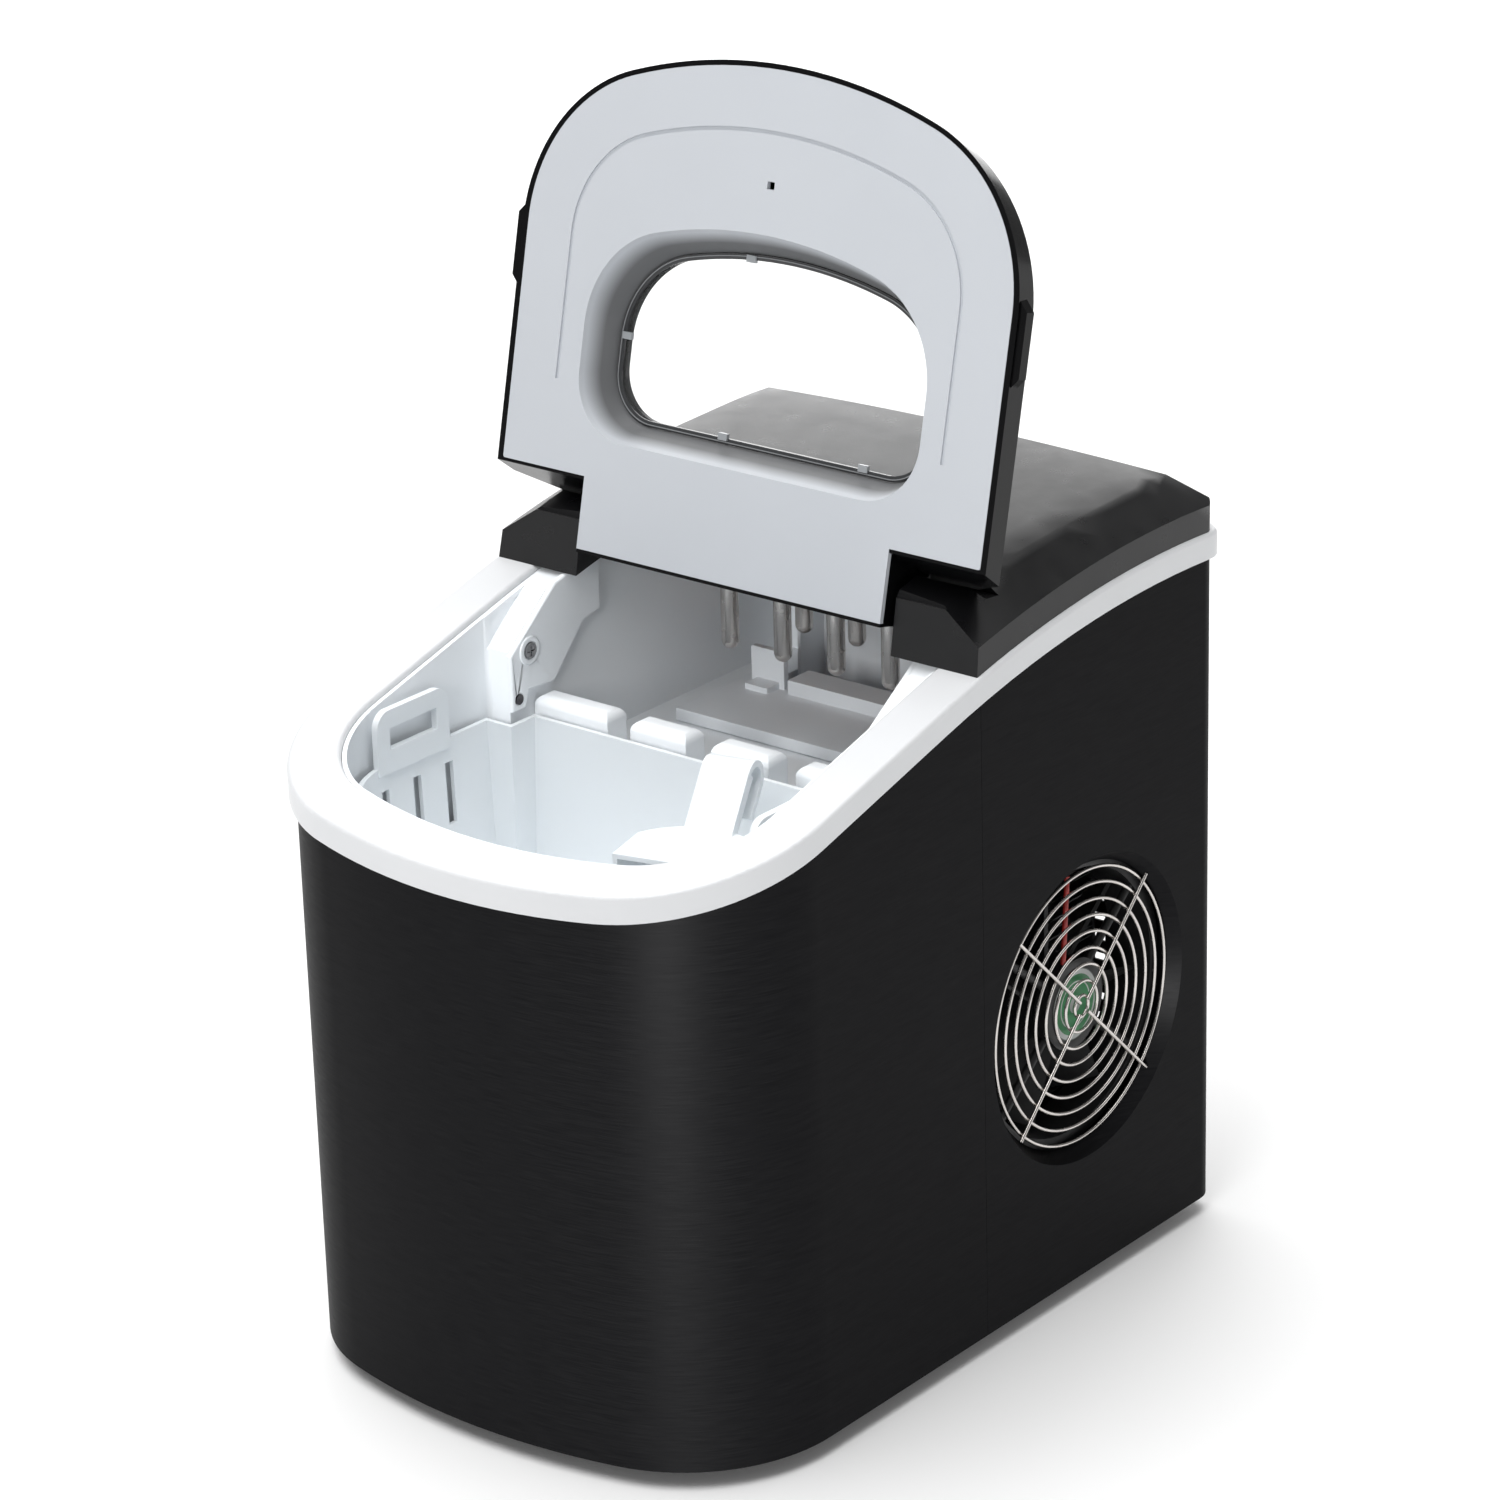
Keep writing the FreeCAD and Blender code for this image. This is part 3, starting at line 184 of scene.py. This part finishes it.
k.bump(k.noise(800.0, 2.0), 0.08, 0.0002)
MATS["lid_white"] = k
MATS["liner_white"] = plastic("white_liner_plastic", (0.87, 0.90, 0.925), 0.40, 0.012, 0.06, 700.0)
k = plastic("basket_plastic", (0.905, 0.94, 0.965), 0.34, 0.002, 0.01, 220.0)
k.b.inputs["Subsurface Weight"].default_value = 0.06
k.b.inputs["Subsurface Radius"].default_value = (0.006, 0.006, 0.007)
k.b.inputs["Subsurface Scale"].default_value = 0.5
MATS["basket_white"] = k
MATS["tray_white"] = plastic("tray_plastic", (0.80, 0.83, 0.86), 0.42, 0.01, 0.06, 700.0)
k = plastic("black_gloss_plastic", (0.0040, 0.0040, 0.0045), 0.20, 0.10, 0.05, 1100.0)
k.b.inputs["Coat Weight"].default_value = 0.08
k.b.inputs["Coat Roughness"].default_value = 0.12
k.b.inputs["Specular IOR Level"].default_value = 0.14
MATS["black_gloss"] = k
k = plastic("deck_black_plastic", (0.0045, 0.0045, 0.0052), 0.30, 0.08, 0.05, 1000.0)
k.b.inputs["Coat Weight"].default_value = 0.10
k.b.inputs["Coat Roughness"].default_value = 0.25
k.b.inputs["Specular IOR Level"].default_value = 0.34
MATS["deck_black"] = k
k = Mat("clear_pane", (0.93, 0.95, 0.96), 0.04)
k.b.inputs["Alpha"].default_value = 0.04
k.roughness(k.noise(60.0, 3.0), 0.03, 0.07)
k.bump(k.noise(25.0, 2.0), 0.03, 0.0004)
MATS["clear_pane"] = k
MATS["clear_clip"] = plastic("clear_clip_plastic", (0.42, 0.44, 0.46), 0.2, 0.04, 0.04, 600.0)
MATS["black_plastic"] = plastic("black_moulded_plastic", (0.016, 0.016, 0.017), 0.48, 0.12, 0.16, 900.0)
MATS["black_rubber"] = plastic("black_rubber", (0.020, 0.020, 0.020), 0.72, 0.15, 0.25, 600.0)
for key, nm, col, ro in (("steel_pin", "zinc_steel", (0.50, 0.50, 0.51), 0.32), ("bright_wire", "bright_chrome", (0.62, 0.59, 0.565), 0.22),
                         ("copper", "copper_tube", (0.78, 0.40, 0.24), 0.28), ("bracket_steel", "bracket_steel", (0.5, 0.5, 0.51), 0.34),
                         ("fins", "fin_aluminium", (0.20, 0.20, 0.205), 0.55)):
    k = Mat(nm, col, ro, 1.0)
    k.tint(k.noise(45.0, 4.0), tuple(c * 0.86 for c in col), tuple(min(1.0, c * 1.08) for c in col))
    k.roughness(k.noise(220.0, 3.0), ro * 0.75, ro * 1.35)
    k.bump(k.noise(500.0, 3.0), 0.05, 0.0002)
    MATS[key] = k
MATS["compressor_paint"] = plastic("compressor_paint", (0.012, 0.012, 0.012), 0.34, 0.15, 0.10, 300.0)
MATS["foam"] = plastic("insulating_foam", (0.74, 0.70, 0.56), 0.85, 0.10, 0.5, 250.0)
MATS["red_wire"] = plastic("red_insulation", (0.42, 0.022, 0.016), 0.36, 0.08, 0.05, 700.0)
MATS["board_green"] = plastic("board_laminate", (0.025, 0.16, 0.06), 0.38, 0.20, 0.10, 350.0)
MATS["pump_grey"] = plastic("pump_plastic", (0.12, 0.12, 0.13), 0.45, 0.10, 0.10, 700.0)
MATS["hose_rubber"] = plastic("silicone_hose", (0.58, 0.60, 0.60), 0.40, 0.05, 0.05, 500.0)
MATS["lens_dark"] = plastic("dark_lens", (0.012, 0.008, 0.012), 0.10, 0.05, 0.02, 500.0)
MATS["indicator"] = plastic("indicator_lens", (0.40, 0.48, 0.42), 0.18, 0.05, 0.03, 500.0)
MATS["button_grey"] = plastic("button_plastic", (0.20, 0.205, 0.215), 0.32, 0.05, 0.08, 800.0)

# round green label: rings around the hub centre
k = Mat("green_label_print", (0.02, 0.22, 0.07), 0.40)
sub = k.t.nodes.new("ShaderNodeVectorMath")
sub.operation = "SUBTRACT"
lo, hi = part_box("fan_label")
cl = (lo + hi) / 2
sub.inputs[1].default_value = cl
k.t.links.new(k.tc.outputs["Object"], sub.inputs[0])
ln = k.t.nodes.new("ShaderNodeVectorMath")
ln.operation = "LENGTH"
k.t.links.new(sub.outputs[0], ln.inputs[0])
rad = ln.outputs["Value"]
ramp = k.t.nodes.new("ShaderNodeValToRGB")
ramp.color_ramp.interpolation = "CONSTANT"
els = [(0.0, (0.42, 0.44, 0.43)), (0.24, (0.02, 0.24, 0.075)), (0.62, (0.55, 0.58, 0.56)), (0.66, (0.02, 0.21, 0.065)), (0.84, (0.50, 0.52, 0.51)), (0.97, (0.10, 0.11, 0.10))]
ramp.color_ramp.elements[0].position = els[0][0]
ramp.color_ramp.elements[0].color = (*els[0][1], 1)
ramp.color_ramp.elements[1].position = els[1][0]
ramp.color_ramp.elements[1].color = (*els[1][1], 1)
for p_, c_ in els[2:]:
    e_ = ramp.color_ramp.elements.new(p_)
    e_.color = (*c_, 1)
k.t.links.new(k.ramp(rad, 0.0, 0.015, 0.0, 1.0), ramp.inputs[0])
k.t.links.new(ramp.outputs[0], k.b.inputs["Base Color"])
k.roughness(k.noise(300.0), 0.34, 0.48)
k.bump(k.noise(700.0), 0.05, 0.0002)
MATS["green_label"] = k

SLOT = {s["node"]: s["material_slot"] for s in frame["record"]["subparts"]}
BEVEL = {"top_collar": 0.0005, "front_wrap_panel": 0.0, "rear_shell": 0.0, "lid_shell": 0.0007, "lid_liner": 0.0008, "rear_deck_cover": 0.0009,
         "liner_tub": 0.0006, "ice_comb": 0.0005, "ice_basket": 0.0006, "ice_scoop": 0.0006, "ice_pusher": 0.0006, "water_tray": 0.0004,
         "sensor_bracket_left": 0.0005, "sensor_bracket_right": 0.0005, "control_bezel": 0.0005, "power_button": 0.0006,
         "select_button": 0.0006, "rubber_feet": 0.0008, "drain_plug": 0.0006, "cord_gland": 0.0006, "base_pan": 0.0006,
         "fan_frame": 0.0004, "fan_rotor": 0.0003}
for name, ob in N.items():
    slot = SLOT[name]
    key = {"lid_liner": "lid_white", "rear_deck_cover": "deck_black"}.get(name, slot)
    ob.data.materials.clear()
    ob.data.materials.append(MATS[key].m)
    ob.data.shade_smooth()
    w = ob.modifiers.new("weld", "WELD")
    w.merge_threshold = 0.000004
    bev = BEVEL.get(name, 0.0)
    if bev > 0:
        b = ob.modifiers.new("soft_edges", "BEVEL")
        b.width = bev
        b.segments = 2
        b.limit_method = "ANGLE"
        b.angle_limit = math.radians(38)
        b.harden_normals = False
        b.use_clamp_overlap = True
        b.miter_outer = "MITER_ARC"
    es = ob.modifiers.new("crease_split", "EDGE_SPLIT")
    es.split_angle = math.radians(33)
    es.use_edge_sharp = False
    if len(ob.data.polygons) < 60000:
        wn = ob.modifiers.new("flat_shading", "WEIGHTED_NORMAL")
        wn.weight = 80
        wn.keep_sharp = True


# ------------------------------------------------------------------ window edge ring
def ordered_outline(ob):
    """Inner-side outline of a flat plate tilted about X: ordered (x, t) points, its plane and axes."""
    mw = ob.matrix_world
    big = max(ob.data.polygons, key=lambda p: p.area)
    nrm = (mw.to_3x3() @ big.normal).normalized()
    pts = [mw @ v.co for v in ob.data.vertices]
    c = sum(pts, Vector()) / len(pts)
    eye = Vector((0.0, -1.0, 0.2))
    if nrm.dot(eye) < 0:
        nrm = -nrm
    d = max(p.dot(nrm) for p in pts)
    face = [p for p in pts if p.dot(nrm) > d - 0.0002]
    ax = Vector((1, 0, 0))
    ay = nrm.cross(ax).normalized()
    two = {}
    for p in face:
        two[(round((p - c).dot(ax), 5), round((p - c).dot(ay), 5))] = 1
    pl = sorted(two, key=lambda q: math.atan2(q[1], q[0]))
    keep = []
    for q in pl:
        if not keep or math.hypot(q[0] - keep[-1][0], q[1] - keep[-1][1]) > 0.0006:
            keep.append(q)
    return keep, c, ax, ay, nrm, d - c.dot(nrm)


def inset(pl, w):
    out = []
    k_ = len(pl)
    for i in range(k_):
        a, b = pl[i - 1], pl[(i + 1) % k_]
        tx, ty_ = b[0] - a[0], b[1] - a[1]
        L = math.hypot(tx, ty_)
        out.append((pl[i][0] - ty_ / L * w, pl[i][1] + tx / L * w))
    return out


def ring(name, pl, c, ax, ay, nrm, prof):
    """Closed band: prof is a list of (inset, height) corners."""
    bm = bmesh.new()
    rows = []
    for w, h in prof:
        rows.append([bm.verts.new(c + ax * x + ay * y + nrm * h) for x, y in inset(pl, w)])
    k_, m_ = len(pl), len(prof)
    for j in range(m_):
        for i in range(k_):
            bm.faces.new((rows[j][i], rows[j][(i + 1) % k_], rows[(j + 1) % m_][(i + 1) % k_], rows[(j + 1) % m_][i]))
    bmesh.ops.recalc_face_normals(bm, faces=bm.faces)
    me_ = bpy.data.meshes.new(name)
    bm.to_mesh(me_)
    bm.free()
    ob_ = bpy.data.objects.new(name, me_)
    scene.collection.objects.link(ob_)
    return ob_


pl, pc, pax, pay, pn, ph = ordered_outline(N["lid_window"])
# Painted shade: the dark grey band round the window stands in for the shadow gap between the lid plate and the pane.
painted_gap_shadow_edge = plastic("window_edge_painted_shadow", (0.055, 0.057, 0.060), 0.22, 0.06, 0.04, 600.0)
# Painted highlight: the thin light grey line on top of the dark band stands in for the lit edge of the pane.
painted_highlight_edge = plastic("window_edge_painted_highlight", (0.30, 0.31, 0.32), 0.20, 0.05, 0.04, 600.0)
for nm, prof, mt in (("window_edge", [(0.0010, ph + 0.0001), (0.0033, ph + 0.0001), (0.0033, ph + 0.0009), (0.0010, ph + 0.0011)], painted_gap_shadow_edge),
                     ("window_edge_line", [(0.0017, ph + 0.00115), (0.0021, ph + 0.00115), (0.0021, ph + 0.0015), (0.0017, ph + 0.0015)], painted_highlight_edge)):
    o_ = ring(nm, pl, pc, pax, pay, pn, prof)
    o_.data.materials.append(mt.m)
    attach(o_, "lid")


# ------------------------------------------------------------------ stage and light
def area(name, loc, target, size, power, color=(1, 1, 1), size_y=None):
    d = bpy.data.lights.new(name, "AREA")
    d.shape = "RECTANGLE"
    d.size = size
    d.size_y = size_y or size
    d.energy = power
    d.color = color
    o = bpy.data.objects.new(name, d)
    o.location = loc
    o.rotation_euler = (Vector(target) - Vector(loc)).to_track_quat("-Z", "Y").to_euler()
    scene.collection.objects.link(o)
    return o


me = bpy.data.meshes.new("floor")
bm = bmesh.new()
bmesh.ops.create_grid(bm, x_segments=8, y_segments=8, size=14.0)
bm.to_mesh(me)
bm.free()
floor = bpy.data.objects.new("floor", me)
scene.collection.objects.link(floor)
k = Mat("pale_floor", (0.93, 0.93, 0.93), 0.85)
k.b.inputs["Specular IOR Level"].default_value = 0.1
k.tint(k.noise(1.5, 2.0), (0.925, 0.925, 0.925), (0.94, 0.94, 0.94))
k.b.inputs["Emission Color"].default_value = (1.0, 1.0, 1.0, 1.0)
k.b.inputs["Emission Strength"].default_value = 0.06
me.materials.append(k.m)

world = bpy.data.worlds.new("studio")
scene.world = world
world.use_nodes = True
wt = world.node_tree
bg = wt.nodes["Background"]
bg.inputs["Color"].default_value = (1.0, 1.0, 1.0, 1.0)
bg.inputs["Strength"].default_value = 0.22
sun = bpy.data.lights.new("overhead_soft", "SUN")
sun.energy = 2.9
sun.angle = math.radians(70)
so = bpy.data.objects.new("overhead_soft", sun)
so.rotation_euler = (Vector((0.20, 0.02, 0.0)) - Vector((0.0, 0.0, 1.0))).to_track_quat("-Z", "Y").to_euler()
scene.collection.objects.link(so)
area("front_soft", (0.9, -1.9, 1.9), (0, -0.02, 0.26), 0.9, 2.0)
area("tub_fill", (0.25, -0.75, 1.15), (0, 0.05, 0.24), 0.5, 3.6)
low = area("corner_low", (1.25, -1.95, 0.16), (0.08, -0.13, 0.15), 0.55, 230.0, size_y=0.28)
panels = bpy.data.collections.new("lit_by_corner_low")
for nm in ("front_wrap_panel", "rear_shell"):
    panels.objects.link(N[nm])
low.light_linking.receiver_collection = panels
deep = area("tub_deep_fill", (0.15, -1.2, 0.62), (0, 0.08, 0.24), 0.35, 6.2)
inside = bpy.data.collections.new("lit_by_tub_deep_fill")
for nm in ("liner_tub", "ice_pusher", "freezing_fingers", "ice_comb", "sensor_bracket_left", "sensor_bracket_right", "water_tray", "evaporator_bracket"):
    inside.objects.link(N[nm])
deep.light_linking.receiver_collection = inside
area("back_low", (-1.3, 2.2, 0.9), (0, 0.1, 0.3), 1.8, 18.0)
